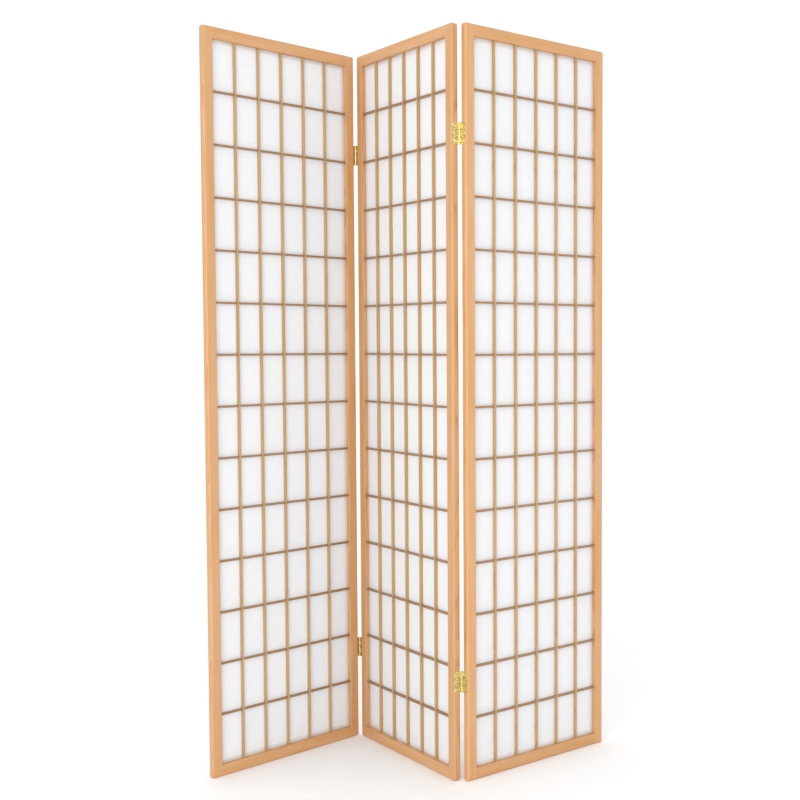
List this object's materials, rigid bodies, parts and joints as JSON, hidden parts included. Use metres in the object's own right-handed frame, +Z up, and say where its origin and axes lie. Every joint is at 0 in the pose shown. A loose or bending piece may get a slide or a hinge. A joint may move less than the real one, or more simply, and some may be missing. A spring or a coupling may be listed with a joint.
{
  "type": "folding room divider screen",
  "caption": "Free-standing folding screen: hinged wooden frames with a window-pane lattice over white paper, standing in a zigzag.",
  "frame": {"origin": "on the floor, at the middle of the footprint's box with the screen standing in its zigzag", "axes": "+Z up, the panels' height; +X along the zigzag, from the left panel to the right one; -Y towards the side where the lattice shows; Y is the zigzag's depth"},
  "size_m": [0.9436, 0.339, 1.784],
  "materials": {
    "frame_wood": "clear-varnished pale softwood, satin",
    "lattice_wood": "clear-varnished pale softwood, satin",
    "bead_wood": "clear-varnished pale softwood, satin",
    "paper": "white fibre paper, matt and translucent",
    "brass_leaves": "bright brass plate",
    "brass_pins": "bright brass plate",
    "brass_screws": "bright brass plate"
  },
  "bodies": {
    "centre_panel": {"centre_panel_bottom_rail": "frame_wood", "centre_panel_crossbars": "lattice_wood", "centre_panel_left_stile": "frame_wood", "centre_panel_paper": "paper", "centre_panel_paper_beads": "bead_wood", "centre_panel_right_stile": "frame_wood", "centre_panel_top_rail": "frame_wood", "centre_panel_upright_1": "lattice_wood", "centre_panel_upright_2": "lattice_wood", "centre_panel_upright_3": "lattice_wood", "centre_panel_upright_4": "lattice_wood", "centre_panel_upright_5": "lattice_wood", "left_lower_hinge_fixed_leaf": "brass_leaves", "left_lower_hinge_fixed_leaf_screws": "brass_screws", "left_lower_hinge_pin": "brass_pins", "left_upper_hinge_fixed_leaf": "brass_leaves", "left_upper_hinge_fixed_leaf_screws": "brass_screws", "left_upper_hinge_pin": "brass_pins", "right_lower_hinge_fixed_leaf": "brass_leaves", "right_lower_hinge_fixed_leaf_screws": "brass_screws", "right_lower_hinge_pin": "brass_pins", "right_upper_hinge_fixed_leaf": "brass_leaves", "right_upper_hinge_fixed_leaf_screws": "brass_screws", "right_upper_hinge_pin": "brass_pins"},
    "left_panel": {"left_lower_hinge_moving_leaf": "brass_leaves", "left_lower_hinge_moving_leaf_screws": "brass_screws", "left_panel_bottom_rail": "frame_wood", "left_panel_crossbars": "lattice_wood", "left_panel_left_stile": "frame_wood", "left_panel_paper": "paper", "left_panel_paper_beads": "bead_wood", "left_panel_right_stile": "frame_wood", "left_panel_top_rail": "frame_wood", "left_panel_upright_1": "lattice_wood", "left_panel_upright_2": "lattice_wood", "left_panel_upright_3": "lattice_wood", "left_panel_upright_4": "lattice_wood", "left_panel_upright_5": "lattice_wood", "left_upper_hinge_moving_leaf": "brass_leaves", "left_upper_hinge_moving_leaf_screws": "brass_screws"},
    "right_panel": {"right_lower_hinge_moving_leaf": "brass_leaves", "right_lower_hinge_moving_leaf_screws": "brass_screws", "right_panel_bottom_rail": "frame_wood", "right_panel_crossbars": "lattice_wood", "right_panel_left_stile": "frame_wood", "right_panel_paper": "paper", "right_panel_paper_beads": "bead_wood", "right_panel_right_stile": "frame_wood", "right_panel_top_rail": "frame_wood", "right_panel_upright_1": "lattice_wood", "right_panel_upright_2": "lattice_wood", "right_panel_upright_3": "lattice_wood", "right_panel_upright_4": "lattice_wood", "right_panel_upright_5": "lattice_wood", "right_upper_hinge_moving_leaf": "brass_leaves", "right_upper_hinge_moving_leaf_screws": "brass_screws"}
  },
  "joints": [
    {"name": "left_fold", "type": "hinge", "parent": "centre_panel", "child": "left_panel", "pos_m": [-0.17005, 0.1569, 0], "axis": [0, 0, 1], "range_deg": [-97, 83]},
    {"name": "right_fold", "type": "hinge", "parent": "centre_panel", "child": "right_panel", "pos_m": [0.13674, -0.15515, 0], "axis": [0, 0, 1], "range_deg": [-90.5, 89.5]}
  ]
}
